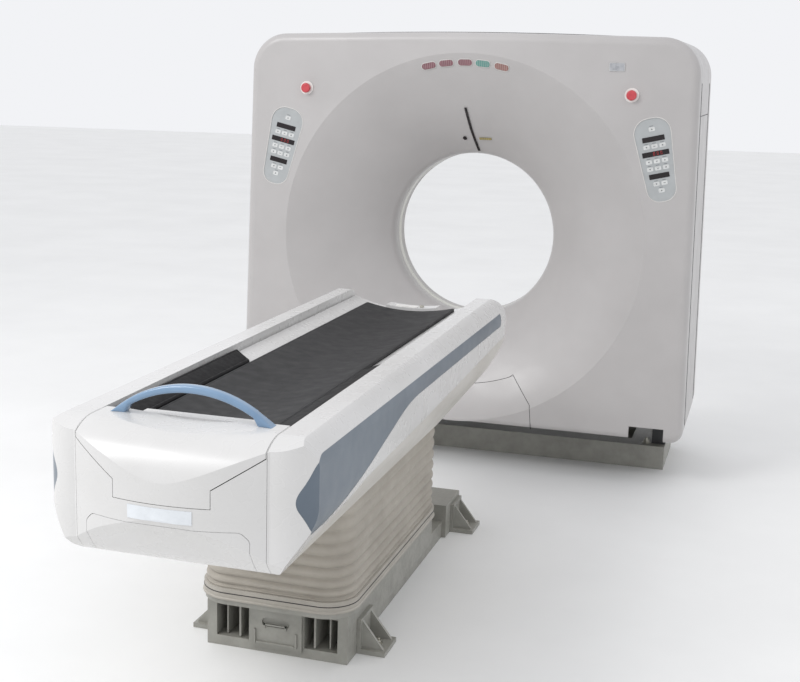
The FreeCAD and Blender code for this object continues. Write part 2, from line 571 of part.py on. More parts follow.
def curved_sheet(x0, x1, top_drop, thick, y0, y1):
    """Sheet that follows the curved cradle, top_drop below the mattress surface."""
    centre = MAT_LOW_Z + CRADLE_R
    r0 = CRADLE_R + top_drop
    sheet = rod_y(0, centre, r0 + thick, y0, y1).cut(rod_y(0, centre, r0, y0 - 1, y1 + 1))
    return sheet.common(box(x0, x1, y0, y1, MAT_LOW_Z - 80, MAT_LOW_Z + 120))


shell = curved_sheet(-CRADLE_HALF_W, CRADLE_HALF_W, MAT_T + SEAM, CRADLE_T, NOSE_Y + SEAM, HEAD_LIP_Y)
NODES["cradle_shell"] = shell
NODES["mattress"] = curved_sheet(-MAT_HALF_W, MAT_HALF_W, 0, MAT_T, NOSE_Y + 4, MAT_HEAD_Y)
pad = curved_sheet(MAT_HALF_W + 2, CRADLE_HALF_W - 1, -2, MAT_T + 2, NOSE_Y + 4, PAD_HEAD_Y)
pad = pad.cut(along_z([(MAT_HALF_W, PAD_HEAD_Y - 45), (CRADLE_HALF_W + 5, PAD_HEAD_Y + 5), (MAT_HALF_W, PAD_HEAD_Y + 5)],
                      600, 900))
NODES["edge_pads"] = Part.makeCompound([pad, mirrored(pad)])

# runners under the cradle, in the trough of the chassis
runner_z = MAT_LOW_Z - MAT_T - CRADLE_T - SEAM
NODES["cradle_carriage"] = fuse([box(-60, 60, NOSE_Y + SEAM, NOSE_Y + 458, TROUGH_Z + RUN, runner_z - 6),
                                 box(-30, 30, NOSE_Y + SEAM, -1100, runner_z - 22, runner_z - SEAM)])

# nose housing: the shield-shaped end of the cradle, flush with the foot of the table
nose_y0 = TABLE_FOOT_Y - 5
nose_zone = along_y([(-TROUGH_HALF_W + 1.5, TROUGH_Z + 1.5), (TROUGH_HALF_W - 1.5, TROUGH_Z + 1.5),
                     (TROUGH_HALF_W - 1.5, NOSE_STEP_Z + 1.5), (CHANNEL_HALF_W - 1.5, CHANNEL_SLOPE_Z + 1.5),
                     (CHANNEL_HALF_W - 1.5, 1000), (-CHANNEL_HALF_W + 1.5, 1000),
                     (-CHANNEL_HALF_W + 1.5, CHANNEL_SLOPE_Z + 1.5), (-TROUGH_HALF_W + 1.5, NOSE_STEP_Z + 1.5)],
                    nose_y0, NOSE_Y)
saddle = along_y([(-400, 1000), (-400, 846), (-238, 842, 200), (0, 826, 900), (238, 842, 200), (400, 846), (400, 1000)],
                 nose_y0 - 5, NOSE_Y + 5)
NODES["nose_housing"] = body.common(nose_zone).cut(saddle)
LEDGE_Z = 826.0
LEDGE_HALF_W = CRADLE_HALF_W - 79
ledge = along_y([(-LEDGE_HALF_W, LEDGE_Z - 16), (LEDGE_HALF_W, LEDGE_Z - 16), (LEDGE_HALF_W - 7, LEDGE_Z + 7, 6),
                 (7 - LEDGE_HALF_W, LEDGE_Z + 7, 6)],
                NOSE_Y + SEAM, NOSE_Y + 34)
NODES["nose_ledge"] = ledge

# handle: an arch over the ledge
HANDLE_Y = NOSE_Y - 24.0
HANDLE_SPAN, HANDLE_TOP, HANDLE_T, HANDLE_W = CRADLE_HALF_W - 26, 918.0, 20.0, 30.0
foot_z = 836.0


def arch(grow):
    p = [V(-HANDLE_SPAN - grow, 0, foot_z), V(0, 0, HANDLE_TOP + grow), V(HANDLE_SPAN + grow, 0, foot_z)]
    return Part.Arc(*p).toShape(), p


a_out, po = arch(0)
a_in, pi_ = arch(-HANDLE_T)
face = Part.Face(Part.Wire([a_out, Part.makeLine(po[2], pi_[2]), a_in, Part.makeLine(pi_[0], po[0])]))
face.translate(V(0, HANDLE_Y - HANDLE_W / 2, 0))
handle = face.extrude(V(0, HANDLE_W, 0))
for s in (-1, 1):
    lo, hi = sorted((s * (HANDLE_SPAN - 42), s * (HANDLE_SPAN + 14)))
    handle = handle.fuse(box(lo, hi, HANDLE_Y - HANDLE_W / 2, HANDLE_Y + HANDLE_W / 2, 818, foot_z + 4))
handle = handle.removeSplitter()
NODES["push_handle"] = handle.cut(NODES["nose_housing"])

# headrest socket at the head of the cradle
SOCK_T = 22.0
sock = curved_sheet(-95, 95, -8, MAT_T + 8, MAT_HEAD_Y + 6, HEAD_LIP_Y)
slot_box = box(-70, 70, MAT_HEAD_Y + 24, HEAD_LIP_Y + 5, MAT_LOW_Z - 4, MAT_LOW_Z + 4)
NODES["headrest_socket"] = sock.cut(slot_box)

# ---------------------------------------------------------------- lift, bellows and table base
outer_col = box(-COL_X, COL_X, COL_YC - COL_Y, COL_YC + COL_Y, 60 + SEAM, 435).cut(
    box(-COL_X + 10, COL_X - 10, COL_YC - COL_Y + 10, COL_YC + COL_Y - 10, 72, 500))
NODES["lift_column_outer"] = outer_col
inner_col = box(-COL_X + 10 + RUN, COL_X - 10 - RUN, COL_YC - COL_Y + 10 + RUN, COL_YC + COL_Y - 10 - RUN, 60 + 12 + LIFT_DOWN + 4, COLUMN_SEAT_Z - SEAM)
NODES["lift_column_inner"] = inner_col.cut(box(-COL_X + 22, COL_X - 22, COL_YC - COL_Y + 22, COL_YC + COL_Y - 22, 200, COLUMN_SEAT_Z - 14))

COLLAR_Z0, COLLAR_Z1 = 165.0, 200.0


def rounded_loop(grow, z):
    face = outline([(-BEL_HALF_X - grow, BEL_Y0 - grow, BEL_R + grow), (BEL_HALF_X + grow, BEL_Y0 - grow, BEL_R + grow),
                    (BEL_HALF_X + grow, BEL_Y1 + grow, BEL_R + grow), (-BEL_HALF_X - grow, BEL_Y1 + grow, BEL_R + grow)], in_xy)
    face.translate(V(0, 0, z))
    return face


def folded(grow, z0, z1, folds, depth):
    step = (z1 - z0) / (2 * folds)
    loops = [rounded_loop(grow + (0 if k % 2 == 0 else -depth), z0 + k * step).OuterWire for k in range(2 * folds + 1)]
    return Part.makeLoft(loops, True, True)


# level flange under the shell, where the bellows' upper edge is clamped
flange = rounded_loop(6, HULL_BOTTOM_Z).extrude(V(0, 0, 90)).cut(rounded_loop(-18, HULL_BOTTOM_Z - 5).extrude(V(0, 0, 110)))
NODES["lower_shell"] = hull.fuse(flange.cut(body)).removeSplitter()
NODES["bellows"] = folded(0, COLLAR_Z1 + SEAM, HULL_BOTTOM_Z - SEAM, 9, 14).cut(
    rounded_loop(-18, COLLAR_Z1 - 5).extrude(V(0, 0, 400)))
NODES["bellows_collar"] = rounded_loop(6, COLLAR_Z0).extrude(V(0, 0, COLLAR_Z1 - COLLAR_Z0)).cut(
    rounded_loop(-18, COLLAR_Z0 - 5).extrude(V(0, 0, 60)))

# base frame: two end blocks, two beams and a deck
BF_X = 215.0
F0, F1, R0, R1 = -2415.0, -2215.0, -1280.0, -1080.0
front_block = box(-BF_X, BF_X, F0, F1, 0, 150)
for lo, hi in ((-185, -85), (85, 185)):
    front_block = front_block.cut(box(lo, hi, F0 - 5, F0 + 120, 30, 130))
frame = fuse([front_block, box(-BF_X, BF_X, R0, R1, 0, 120), box(-200, -130, F1, R0, 0, 60), box(130, 200, F1, R0, 0, 60),
              box(-200, 200, F1, R0, 48, 60), box(-BF_X, -BF_X + 14, F1, BEL_Y1 - 20, 48, 150),
              box(BF_X - 14, BF_X, F1, BEL_Y1 - 20, 48, 150)])
deck = rounded_loop(2, 150).extrude(V(0, 0, COLLAR_Z0 - 150 - SEAM)).cut(
    box(-COL_X - 20, COL_X + 20, COL_YC - COL_Y - 20, COL_YC + COL_Y + 20, 100, 200))
NODES["table_base_frame"] = fuse([frame, deck])
slot_plate = box(-80, 80, F0 - 8, F0 - SEAM, 18, 140).cut(
    along_y(rect(0, 96, 84, 26, 12.9), F0 - 20, F0 + 5))
NODES["base_front_plate"] = slot_plate

TABLE_ANCHOR_X, TABLE_ANCHOR_Y = 262.0, (-2270.0, -1150.0)
TABLE_ANCHOR_R = 7.0


def bracket(sx, y):
    """Angle bracket with a gusset that bolts the base frame to the floor."""
    foot_pad = box(BF_X + SEAM, BF_X + 85, y - 60, y + 60, 0, 14)
    wall = box(BF_X + SEAM, BF_X + 12, y - 60, y + 60, 0, 104)
    gusset = along_y([(BF_X + 10, 10), (BF_X + 80, 10), (BF_X + 10, 100)], y - 46, y - 36)
    gusset2 = along_y([(BF_X + 10, 10), (BF_X + 80, 10), (BF_X + 10, 100)], y + 36, y + 46)
    b = fuse([foot_pad, wall, gusset, gusset2]).cut(rod_z(TABLE_ANCHOR_X, y, TABLE_ANCHOR_R, -1, 20))
    return b if sx > 0 else mirrored(b)


for y, end in zip(TABLE_ANCHOR_Y, ("front", "rear")):
    NODES["floor_brackets_" + end] = Part.makeCompound([bracket(s, y) for s in (1, -1)])

# ---------------------------------------------------------------- place and write
SHIFT = -(TABLE_FOOT_Y + REAR_Y) / 2
print("shift in Y %.3f" % SHIFT, "nodes", len(NODES))
for name, shape in NODES.items():
    shape = shape.copy()
    shape.translate(V(0, SHIFT, 0))
    if not shape.isValid() or len(shape.Solids) < 1:
        print("CHECK", name, shape.isValid(), len(shape.Solids))
    if len(shape.Solids) == 1:
        shape = shape.Solids[0]
    b = shape.BoundBox
    print("%-22s %2d %9.1f cm3  x %.0f %.0f  y %.0f %.0f  z %.0f %.0f" % (
        name, len(shape.Solids), shape.Volume / 1000, b.XMin, b.XMax, b.YMin - SHIFT, b.YMax - SHIFT, b.ZMin, b.ZMax))
    shape.exportStep("parts/%s.step" % name)
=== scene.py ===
import math

import bpy
from mathutils import Matrix, Vector, noise


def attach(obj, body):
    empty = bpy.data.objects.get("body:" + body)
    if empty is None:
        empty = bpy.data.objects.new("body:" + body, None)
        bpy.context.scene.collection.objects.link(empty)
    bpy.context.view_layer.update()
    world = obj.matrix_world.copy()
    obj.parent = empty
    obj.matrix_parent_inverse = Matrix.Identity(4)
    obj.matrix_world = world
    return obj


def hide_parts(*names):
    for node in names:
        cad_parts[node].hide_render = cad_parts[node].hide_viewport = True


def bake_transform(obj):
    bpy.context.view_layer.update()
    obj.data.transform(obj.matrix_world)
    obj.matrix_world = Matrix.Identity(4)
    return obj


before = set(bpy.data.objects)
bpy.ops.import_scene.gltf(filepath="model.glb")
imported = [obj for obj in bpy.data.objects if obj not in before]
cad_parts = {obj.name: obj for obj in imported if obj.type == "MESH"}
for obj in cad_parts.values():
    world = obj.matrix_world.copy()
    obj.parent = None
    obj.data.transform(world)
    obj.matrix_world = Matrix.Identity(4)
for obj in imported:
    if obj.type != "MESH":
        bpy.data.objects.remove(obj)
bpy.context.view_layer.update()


# ================================================================ the room
# A plain pale floor, soft daylight from the upper left, and a camera at standing height by the table's foot.
# None of it belongs to the scanner.

SCAN_PLANE_Y = 1390   # model.glb's frame has the scan plane this far behind its middle, in mm


def at(x, y, z):
    """Point given in millimetres about the scan plane, as a point of the frame in metres."""
    return (x / 1000, (y + SCAN_PLANE_Y) / 1000, z / 1000)


def to_linear(code):
    """sRGB hex colour as linear red, green, blue and alpha."""
    parts = [int(code[i:i + 2], 16) / 255 for i in (1, 3, 5)]
    return [c / 12.92 if c <= 0.04045 else ((c + 0.055) / 1.055) ** 2.4 for c in parts] + [1.0]


def add(mat, kind, links=None, values=None, **settings):
    """Adds one node with its settings, its values and its incoming links."""
    node = mat.node_tree.nodes.new(kind)
    for name, value in settings.items():
        setattr(node, name, value)
    for name, value in (values or {}).items():
        node.inputs[name].default_value = value
    for name, source in (links or {}).items():
        mat.node_tree.links.new(source, node.inputs[name])
    return node


def finish(name, light, dark, tone_mm, grain_mm, depth_mm, gloss,
           ior=1.5, metallic=0.0, coat=0.0, stretch=(1, 1, 1)):
    """Material with slow changes of tone, a fine grain and uneven gloss, all at real sizes."""
    mat = bpy.data.materials.new(name)
    mat.use_nodes = True
    shader = mat.node_tree.nodes["Principled BSDF"]
    shader.inputs["IOR"].default_value = ior
    shader.inputs["Metallic"].default_value = metallic
    shader.inputs["Coat Weight"].default_value = coat
    shader.inputs["Coat Roughness"].default_value = 0.20
    place = add(mat, "ShaderNodeTexCoord").outputs["Object"]
    run = add(mat, "ShaderNodeMapping", {"Vector": place}, {"Scale": stretch}).outputs["Vector"]
    tone = add(mat, "ShaderNodeTexNoise", {"Vector": place},
               {"Scale": 1000 / tone_mm, "Detail": 4.0, "Roughness": 0.6})
    share = add(mat, "ShaderNodeMapRange", {"Value": tone.outputs["Fac"]},
                {"From Min": 0.32, "From Max": 0.68})
    colour = add(mat, "ShaderNodeMixRGB", {"Fac": share.outputs["Result"]},
                 {"Color1": to_linear(light), "Color2": to_linear(dark)})
    grain = add(mat, "ShaderNodeTexNoise", {"Vector": run},
                {"Scale": 1000 / grain_mm, "Detail": 3.0, "Roughness": 0.55})
    smear = add(mat, "ShaderNodeTexNoise", {"Vector": run}, {"Scale": 6000 / tone_mm, "Detail": 2.0})
    rough = add(mat, "ShaderNodeMapRange", {"Value": smear.outputs["Fac"]},
                {"From Min": 0.3, "From Max": 0.7, "To Min": gloss[0], "To Max": gloss[1]})
    bump = add(mat, "ShaderNodeBump", {"Height": grain.outputs["Fac"]},
               {"Strength": 1.0, "Distance": depth_mm / 1000})
    mat.node_tree.links.new(colour.outputs["Color"], shader.inputs["Base Color"])
    mat.node_tree.links.new(rough.outputs["Result"], shader.inputs["Roughness"])
    mat.node_tree.links.new(bump.outputs["Normal"], shader.inputs["Normal"])
    return mat


# painted screed: nearly white and matt, with a faint cloudiness
FLOOR = finish("painted_screed", "#F4F4F3", "#EFEFEE", 900, 6, 0.05, (0.75, 0.85))
bpy.ops.mesh.primitive_plane_add(size=60, location=(0, 0, -0.0005))
floor = bpy.context.object
floor.name = "floor"
floor.data.materials.append(FLOOR)

world = bpy.data.worlds.new("daylight")
bpy.context.scene.world = world
world.use_nodes = True
world.node_tree.nodes["Background"].inputs["Color"].default_value = to_linear("#FBFCFF")
world.node_tree.nodes["Background"].inputs["Strength"].default_value = 0.92
LAMP_AT, LAMP_AIM = Vector((-3.2, -3.6, 4.8)), Vector((0.2, 0.3, 0.5))
light = bpy.data.lights.new("window_light", "AREA")
light.size = 2.4
light.energy = 150
holder = bpy.data.objects.new("window_light", light)
holder.location = LAMP_AT
holder.rotation_euler = (LAMP_AIM - LAMP_AT).to_track_quat("-Z", "Y").to_euler()
bpy.context.scene.collection.objects.link(holder)

AZIMUTH, ELEVATION, ROLL = 0.3224, 0.2125, 0.0202
FOCAL_PX, FRAME_PX, SENSOR_MM = 1319.4, 800, 36.0
sight = Vector((-math.sin(AZIMUTH) * math.cos(ELEVATION), math.cos(AZIMUTH) * math.cos(ELEVATION),
                -math.sin(ELEVATION)))
level = Vector((math.cos(AZIMUTH), math.sin(AZIMUTH), 0))
across = level * math.cos(ROLL) + level.cross(sight) * math.sin(ROLL)
camera = bpy.data.objects.new("camera", bpy.data.cameras.new("camera"))
camera.rotation_mode = "QUATERNION"
camera.rotation_quaternion = Matrix((across, across.cross(sight), -sight)).transposed().to_quaternion()
camera.location = (1.2673, -4.3286, 1.6301)
camera.data.sensor_width = SENSOR_MM
camera.data.lens = FOCAL_PX * SENSOR_MM / FRAME_PX
camera.data.shift_x = 0.08
camera.data.shift_y = 0.024
bpy.context.scene.collection.objects.link(camera)
bpy.context.scene.camera = camera
bpy.context.scene.view_settings.view_transform = "Standard"


# ================================================================ base frame of the gantry
# A welded frame of 100 mm square steel tube under two stanchions, all in grey two-pack enamel.
# It is bolted to the floor at its four corners; the gantry hangs between the stanchions on two trunnions.

def coat_nodes(mat, *nodes):
    """Gives CAD nodes their finish."""
    for name in nodes:
        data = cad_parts[name].data
        data.materials.clear()
        data.materials.append(mat)


def dusted(mat, dust, amount):
    """Lays a film of dust on the surfaces that face upwards."""
    links = mat.node_tree.links
    shader = mat.node_tree.nodes["Principled BSDF"]
    base = shader.inputs["Base Color"].links[0].from_socket
    surface = add(mat, "ShaderNodeNewGeometry")
    facing = add(mat, "ShaderNodeSeparateXYZ", {"Vector": surface.outputs["Normal"]})
    share = add(mat, "ShaderNodeMapRange", {"Value": facing.outputs["Z"]},
                {"From Min": 0.2, "From Max": 1.0, "To Max": amount})
    mixed = add(mat, "ShaderNodeMixRGB", {"Fac": share.outputs["Result"], "Color1": base},
                {"Color2": to_linear(dust)})
    links.new(mixed.outputs["Color"], shader.inputs["Base Color"])


# two-pack enamel on steel: mid grey, half gloss, orange peel about 3 mm across, dust where it faces up
FRAME_ENAMEL = finish("grey_enamelled_steel", "#9C9B94", "#8B8A83", 60, 3, 0.06, (0.36, 0.52), ior=1.52)
dusted(FRAME_ENAMEL, "#9C9A92", 0.45)
coat_nodes(FRAME_ENAMEL, "gantry_base_frame", "table_base_frame", "base_front_plate", "floor_brackets_front",
           "floor_brackets_rear")
# the same enamel darkened to near black on the stanchions, which sit inside the covers: painted shade
SHADED_ENAMEL = finish("enamel_darkened_as_painted_shade", "#2B2C2E", "#222325", 80, 3, 0.06, (0.40, 0.55), ior=1.52)
coat_nodes(SHADED_ENAMEL, "stanchion_left", "stanchion_right")


def new_piece(name, verts, faces, mat, smooth=True):
    """Mesh object in the frame, from points in metres."""
    data = bpy.data.meshes.new(name)
    data.from_pydata([tuple(v) for v in verts], [], faces)
    data.validate()
    for face in data.polygons:
        face.use_smooth = smooth
    data.materials.append(mat)
    piece = bpy.data.objects.new(name, data)
    bpy.context.scene.collection.objects.link(piece)
    return piece


def turned(profile, centre, up, steps, verts, faces):
    """Adds a turned body: profile is (radius, height) in mm from end to end along up, about centre."""
    up = Vector(up)
    side = Vector((1, 0, 0)) if abs(up.x) < 0.5 else Vector((0, 1, 0))
    other = up.cross(side)
    start = len(verts)
    for r, h in profile:
        for k in range(steps):
            a = 2 * math.pi * (k + 0.5) / steps
            p = Vector(centre) + side * (r * math.cos(a)) + other * (r * math.sin(a)) + up * h
            verts.append(at(*p))
    for i in range(len(profile) - 1):
        for k in range(steps):
            n = (k + 1) % steps
            low, high = start + i * steps, start + (i + 1) * steps
            faces.append((low + k, low + n, high + n, high + k))
    faces.append(tuple(start + k for k in reversed(range(steps))))
    faces.append(tuple(start + (len(profile) - 1) * steps + k for k in range(steps)))


# zinc-plated steel: bright grey with a faint yellow tinge and fine turning marks
ZINC = finish("zinc_plated_steel", "#C9C7BE", "#B4B1A6", 8, 0.8, 0.01, (0.28, 0.42), metallic=1.0)
for group, spots, size, seat in (
        ("gantry_anchor_bolts", [(x, y) for x in (-800, 800) for y in (-46, 250)], 15, 100),
        ("table_anchor_bolts", [(x, y) for x in (-262, 262) for y in (-2270, -1150)], 11, 14)):
    verts, faces = [], []
    for x, y in spots:
        washer = [(size * 0.4, 0.2), (size * 1.25, 0.2), (size * 1.25, 2.6), (size * 0.4, 2.6)]
        nut = [(size * 0.96, 2.6), (size, 3.6), (size, size * 0.8), (size * 0.92, size * 0.8 + 2)]
        thread_end = [(size * 0.52, size * 0.8), (size * 0.52, size * 1.5), (size * 0.42, size * 1.6)]
        for profile, sides in ((washer, 32), (nut, 6), (thread_end, 20)):
            turned(profile, (x, y, seat), (0, 0, 1), sides, verts, faces)
    bolts = new_piece(group, verts, faces, ZINC, smooth=False)
    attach(bolts, "base")


# ================================================================ tilting frame and rotor
# The tilting frame is a cast aluminium ring that carries the covers; in it turns the rotor with its tube.
# All of it sits behind the covers, and only glimpses show through the notches and the open underside.

# sand-cast aluminium: light grey, matt, with a grain of about 1.5 mm
CASTING = finish("sand_cast_aluminium", "#A9ABAC", "#8F9193", 120, 1.5, 0.12, (0.45, 0.62), metallic=1.0)
# turned steel: brighter, with turning marks that run round the ring
TURNED_STEEL = finish("turned_steel", "#B9BABC", "#A4A5A8", 200, 1.2, 0.01, (0.24, 0.36), metallic=1.0,
                      stretch=(1, 12, 1))
# powder-coated sheet: even warm grey with a fine texture of about 1 mm
POWDER_COAT = finish("powder_coated_sheet", "#9A9C9E", "#8E9092", 150, 1, 0.05, (0.48, 0.58), ior=1.5)
# chloroprene belt: black, matt, with a fabric print of about 1 mm
BELT_RUBBER = finish("chloroprene_rubber", "#1B1B1C", "#262627", 40, 1, 0.08, (0.62, 0.78), ior=1.52)
coat_nodes(CASTING, "tilt_frame", "rotor_ring")
coat_nodes(TURNED_STEEL, "motor_pulley", "lift_column_inner", "lift_column_outer", "cradle_carriage")
coat_nodes(POWDER_COAT, "xray_tube", "collimator", "detector_arc", "rotor_power_boxes", "drive_motor")
coat_nodes(BELT_RUBBER, "drive_belt")

# brass tracks on a dark phenolic disc: rings about 9 mm wide round the bore axis
SLIP_RING = finish("brass_tracks_on_phenolic", "#C8A457", "#A8863E", 30, 0.6, 0.01, (0.25, 0.40),
                   metallic=1.0)
shader = SLIP_RING.node_tree.nodes["Principled BSDF"]
place = add(SLIP_RING, "ShaderNodeTexCoord").outputs["Object"]
centred = add(SLIP_RING, "ShaderNodeMapping", {"Vector": place},
              {"Location": (0, 0, -0.965), "Scale": (1, 0, 1)})
radius = add(SLIP_RING, "ShaderNodeVectorMath", {0: centred.outputs["Vector"]}, operation="LENGTH")
tracks = add(SLIP_RING, "ShaderNodeMath", {0: radius.outputs["Value"]}, {1: 0.009}, operation="PINGPONG")
on_track = add(SLIP_RING, "ShaderNodeMath", {0: tracks.outputs["Value"]}, {1: 0.003},
               operation="GREATER_THAN")
brass = shader.inputs["Base Color"].links[0].from_socket
two_tone = add(SLIP_RING, "ShaderNodeMixRGB", {"Fac": on_track.outputs["Value"], "Color2": brass},
               {"Color1": to_linear("#3A2A20")})
SLIP_RING.node_tree.links.new(two_tone.outputs["Color"], shader.inputs["Base Color"])
coat_nodes(SLIP_RING, "slip_ring")


# ================================================================ covers of the gantry
# Glass-fibre mouldings sprayed in warm off-white polyurethane, hung on the tilting frame with hidden catches.
# The front and rear ones form the flares; the seams between them are drawn as thin black beads, a painted
# shadow in the gaps.

# sprayed polyurethane on glass fibre: satin, orange peel about 4 mm across, slightly greyer in slow patches
COVER_PAINT = finish("sprayed_polyurethane_cover", "#BBB8B7", "#B3B0AF", 420, 4, 0.035, (0.30, 0.42), ior=1.5,
                     coat=0.08)
coat_nodes(COVER_PAINT, "front_cover", "rear_cover", "top_cover", "side_cover_right", "side_cover_left",
           "front_access_panel")
# moulded polystyrene liner, matt, and a milky polyester window of the scan plane
LINER = finish("moulded_polystyrene_liner", "#C3C1BF", "#BBB9B6", 200, 1.2, 0.03, (0.46, 0.58), ior=1.57)
coat_nodes(LINER, "bore_liner")
WINDOW = finish("milky_polyester_film", "#D2D1C8", "#C9C8BD", 160, 5, 0.01, (0.16, 0.24), ior=1.6)
coat_nodes(WINDOW, "scan_window")

# painted shadow line: black, matt beads that stand in for the shade in seams and grooves, with a grain of
# about 0.6 mm
SHADOW_LINE = finish("painted_shadow_line", "#2A2A2B", "#343435", 30, 0.6, 0.03, (0.60, 0.75), ior=1.5)


def bead(name, paths, radius, mat, body, closed=False):
    """Round bead let into a surface along one or more paths, given in millimetres."""
    curve = bpy.data.curves.new(name, "CURVE")
    curve.dimensions = "3D"
    curve.bevel_depth = radius / 1000
    curve.bevel_resolution = 2
    curve.use_fill_caps = True
    for path in paths:
        spline = curve.splines.new("POLY")
        spline.points.add(len(path) - 1)
        for point, p in zip(spline.points, path):
            point.co = (*at(*p), 1)
        spline.use_cyclic_u = closed
    curve.materials.append(mat)
    piece = bpy.data.objects.new(name, curve)
    bpy.context.scene.collection.objects.link(piece)
    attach(piece, body)
    return piece


ISO_Z, HALF_W, TAPER, TOP_Z, CORNER_R = 965, 947, 0.024, 1815, 150


def cover_outline(y, low):
    """The gantry's outline from one bottom corner over the top to the other, at depth y."""
    crown_low = TOP_Z - 17
    lean = math.atan(TAPER)
    right = [(HALF_W + TAPER * (ISO_Z - z), z) for z in range(low, int(crown_low - CORNER_R * 0.98), 60)]
    cx = HALF_W + TAPER * (ISO_Z - crown_low) - CORNER_R * 1.02
    cz = crown_low - CORNER_R * 1.005
    right += [(cx + CORNER_R * math.cos(a), cz + CORNER_R * math.sin(a))
              for a in [lean + (math.pi / 2 - lean) * k / 12 for k in range(13)]]
    right += [(x, TOP_Z - x * x / 36000 - 0.4) for x in range(int(cx) - 30, 0, -60)]
    return [(x, y, z) for x, z in right] + [(-x, y, z) for x, z in reversed(right)]


SEAM_Y, SEAM_LOW, SPLIT_Z, SHADOW_LINE_R = 250, 245, 1500, 1.6
# thin black beads round the front and rear seams and along the top cover's splits: painted shadow in the gaps
# between the covers
for side, seam_y in (("front", -SEAM_Y), ("rear", SEAM_Y)):
    seam = bead(f"cover_seam_shadow_{side}", [cover_outline(seam_y, SEAM_LOW)], SHADOW_LINE_R, SHADOW_LINE, "gantry")
split_x = HALF_W + TAPER * (ISO_Z - SPLIT_Z) - 0.4
splits = [[(s * split_x, y, SPLIT_Z) for y in (1 - SEAM_Y, SEAM_Y - 1)] for s in (-1, 1)]
bead("top_cover_seam_shadows", splits, SHADOW_LINE_R, SHADOW_LINE, "gantry")


def circle_through(p, q, r):
    """Centre and radius of the circle through three points."""
    (ax, ay), (bx, by), (cx, cy) = p, q, r
    d = 2 * (ax * (by - cy) + bx * (cy - ay) + cx * (ay - by))
    aa, bb, cc = ax * ax + ay * ay, bx * bx + by * by, cx * cx + cy * cy
    ux = (aa * (by - cy) + bb * (cy - ay) + cc * (ay - by)) / d
    uy = (aa * (cx - bx) + bb * (ax - cx) + cc * (bx - ax)) / d
    return ux, uy, math.hypot(ax - ux, ay - uy)


FACE_Y, FLARE_R = -361, 765
bell_r, bell_y, bell_round = circle_through((368.6, -98.6), (545.05, -248.6), (FLARE_R, FACE_Y))


def face_y(x, z):
    """Depth of the front cover's surface: the flat face outside the flare, the bell inside it."""
    r = math.hypot(x, z - ISO_Z)
    if r >= FLARE_R:
        return FACE_Y
    lift = math.sqrt(max(0, bell_round ** 2 - (r - bell_r) ** 2))
    if abs(bell_y + lift + 248) < abs(bell_y - lift + 248) or bell_y < FACE_Y:
        return bell_y + lift
    return bell_y - lift


# dark shadow line round the removable panel below the bore
panel_line = [(346, 190), (336, 292), (248, 402)]
PANEL_ARC_R = 620   # the panel's top edge runs round the bore axis
half_arc = math.atan2(248, ISO_Z - 402)
arc_angles = [half_arc * (1 - k / 15) for k in range(1, 30)]
panel_line += [(PANEL_ARC_R * math.sin(a), ISO_Z - PANEL_ARC_R * math.cos(a)) for a in arc_angles]
panel_line += [(-248, 402), (-336, 292), (-346, 190)]
dense = []
for (x0, z0), (x1, z1) in zip(panel_line, panel_line[1:]):
    dense += [(x0 + (x1 - x0) * k / 8, z0 + (z1 - z0) * k / 8) for k in range(8)]
dense.append(panel_line[-1])
panel_seam = bead("access_panel_seam_shadow", [[(x, face_y(x, z) + 0.9, z) for x, z in dense]], 1.5, SHADOW_LINE,
                  "gantry")


# ================================================================ control panels of the gantry
# Two membrane panels in egg-shaped recesses, leaning towards the bore: each has three displays and its keys.
# The membranes are printed polyester on a metal tray; the keys are raised silicone caps without lettering.

# textured polyester membrane: cool light grey, matt, print grain about 0.7 mm
MEMBRANE = finish("textured_polyester_membrane", "#AEB1B2", "#A5A8A9", 60, 0.7, 0.03, (0.42, 0.52), ior=1.6)
coat_nodes(MEMBRANE, "control_panel_right", "control_panel_left")
# silicone key caps: pale grey with a soft sheen, a little darker where fingers touch
SILICONE = finish("silicone_key_cap", "#DADBDA", "#C6C7C6", 14, 0.8, 0.02, (0.38, 0.55), ior=1.43)
coat_nodes(SILICONE, "panel_keys")
# smoked acrylic: almost black and glossy, with fine wiping marks
SMOKED = finish("smoked_acrylic", "#1A1114", "#120C0F", 20, 1.5, 0.004, (0.06, 0.14), ior=1.49)
coat_nodes(SMOKED, "panel_displays", "laser_windows")
# screen-printed ink of the key marks and the lit red segments of the displays
INK = finish("screen_printed_ink", "#5C6064", "#54585C", 10, 0.5, 0.01, (0.5, 0.6), ior=1.5)
SEGMENTS = finish("lit_red_segments", "#8E1F22", "#7A1A1D", 6, 0.5, 0.002, (0.3, 0.4), ior=1.5)
SEGMENTS.node_tree.nodes["Principled BSDF"].inputs["Emission Color"].default_value = to_linear("#D8343A")
SEGMENTS.node_tree.nodes["Principled BSDF"].inputs["Emission Strength"].default_value = 0.35
# stove-enamelled aluminium rim round each recess; the same pale colour rings the lamps as a painted highlight
RIM_AND_HIGHLIGHT = finish("enamelled_rim_and_painted_highlight", "#D3D1CE", "#C8C6C3", 40, 1, 0.02, (0.28, 0.38), ior=1.5)

POD_X, POD_Z, POD_LEAN = 788, 1330, math.radians(13)
PANEL_Y = FACE_Y + 4


def on_pod(u, v, side):
    """Point of a panel's own slanted frame, as x and z; +u is to the reader's right on both panels."""
    w = u * side
    x = w * math.cos(POD_LEAN) - v * math.sin(POD_LEAN)
    return side * (POD_X + x), POD_Z + w * math.sin(POD_LEAN) + v * math.cos(POD_LEAN)


def plate(outline, y0, y1, verts, faces):
    """Adds a flat plate between two depths; outline is x, z corners."""
    start, n = len(verts), len(outline)
    verts += [at(x, y0, z) for x, z in outline] + [at(x, y1, z) for x, z in outline]
    faces.append(tuple(range(start, start + n)))
    faces.append(tuple(start + n + k for k in reversed(range(n))))
    for k in range(n):
        m = (k + 1) % n
        faces.append((start + k, start + n + k, start + n + m, start + m))


